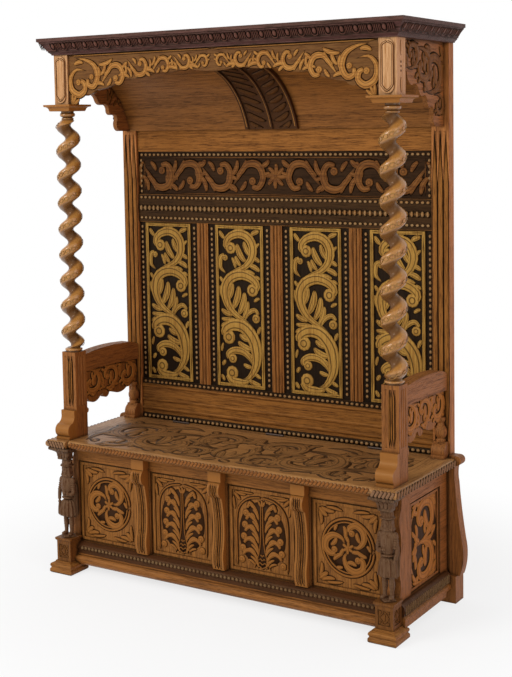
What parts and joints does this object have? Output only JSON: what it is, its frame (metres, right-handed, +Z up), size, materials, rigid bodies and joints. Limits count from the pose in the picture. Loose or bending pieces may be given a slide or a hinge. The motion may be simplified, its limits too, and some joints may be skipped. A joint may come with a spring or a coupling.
{
  "type": "canopied settle bench",
  "caption": "Carved oak hall settle with a panelled storage box, lifting seat lid, arms, twist columns and coved hood.",
  "frame": {"origin": "on the floor, below the centre of the whole outline", "axes": "+X to the right as seen from the front, +Y to the back, +Z up; the settle faces -Y"},
  "size_m": [1.5048, 0.52, 2],
  "materials": {
    "oak_frame": "waxed oak, warm brown, darker in the recesses",
    "oak_carved": "carved oak, golden relief on a blackened ground",
    "oak_gold": "waxed oak, golden where it is rubbed",
    "oak_dark": "dark stained carved oak",
    "oak_cornice": "dark stained moulding",
    "oak_seat": "worn polished seat board",
    "oak_turned": "turned oak, glossy wax",
    "oak_plain": "plain planed oak",
    "hinge_iron": "blackened iron"
  },
  "bodies": {
    "settle": {"arm_aprons": "oak_carved", "arm_left": "oak_frame", "arm_right": "oak_frame", "back_mouldings": "oak_gold", "back_muntins": "oak_frame", "back_panel_inner_left": "oak_carved", "back_panel_inner_right": "oak_carved", "back_panel_outer_left": "oak_carved", "back_panel_outer_right": "oak_carved", "back_rails": "oak_frame", "base_mouldings": "oak_dark", "box_back_board": "oak_plain", "box_bottom_board": "oak_plain", "box_corner_stiles": "oak_frame", "box_front_rails": "oak_frame", "box_muntins": "oak_frame", "box_panel_inner_left": "oak_carved", "box_panel_inner_right": "oak_carved", "box_panel_outer_left": "oak_carved", "box_panel_outer_right": "oak_carved", "box_side_frames": "oak_frame", "canopy_board": "oak_plain", "cap_plates": "oak_gold", "column_left": "oak_turned", "column_right": "oak_turned", "cornice": "oak_cornice", "cove_board": "oak_frame", "cove_rib": "oak_dark", "figure_capitals": "oak_dark", "figure_left": "oak_dark", "figure_right": "oak_dark", "frieze_panel": "oak_carved", "front_feet": "oak_dark", "front_post_left": "oak_frame", "front_post_right": "oak_frame", "front_valance": "oak_gold", "hinge_frame_leaves": "hinge_iron", "hinge_frame_screws": "hinge_iron", "hinge_pins": "hinge_iron", "pedestals": "oak_dark", "plinth_mouldings": "oak_frame", "post_scrolls": "oak_gold", "rear_brackets": "oak_frame", "rear_feet": "oak_frame", "rear_post_left": "oak_frame", "rear_post_right": "oak_frame", "rear_scrolls": "oak_dark", "seat_consoles": "oak_frame", "seat_end_left": "oak_seat", "seat_end_right": "oak_seat", "seat_rear_strip": "oak_seat", "side_panel_left": "oak_carved", "side_panel_right": "oak_carved", "side_valances": "oak_carved", "upper_blocks": "oak_gold"},
    "lid": {"seat_lid": "oak_seat", "lid_battens": "oak_plain", "lid_bed_mould": "oak_frame", "hinge_lid_leaves": "hinge_iron", "hinge_lid_screws": "hinge_iron"}
  },
  "joints": [
    {"name": "lid_hinge", "type": "hinge", "parent": "settle", "child": "lid", "pos_m": [0, 0.2, 0.512], "axis": [-1, 0, 0], "range_deg": [0, 92]}
  ]
}
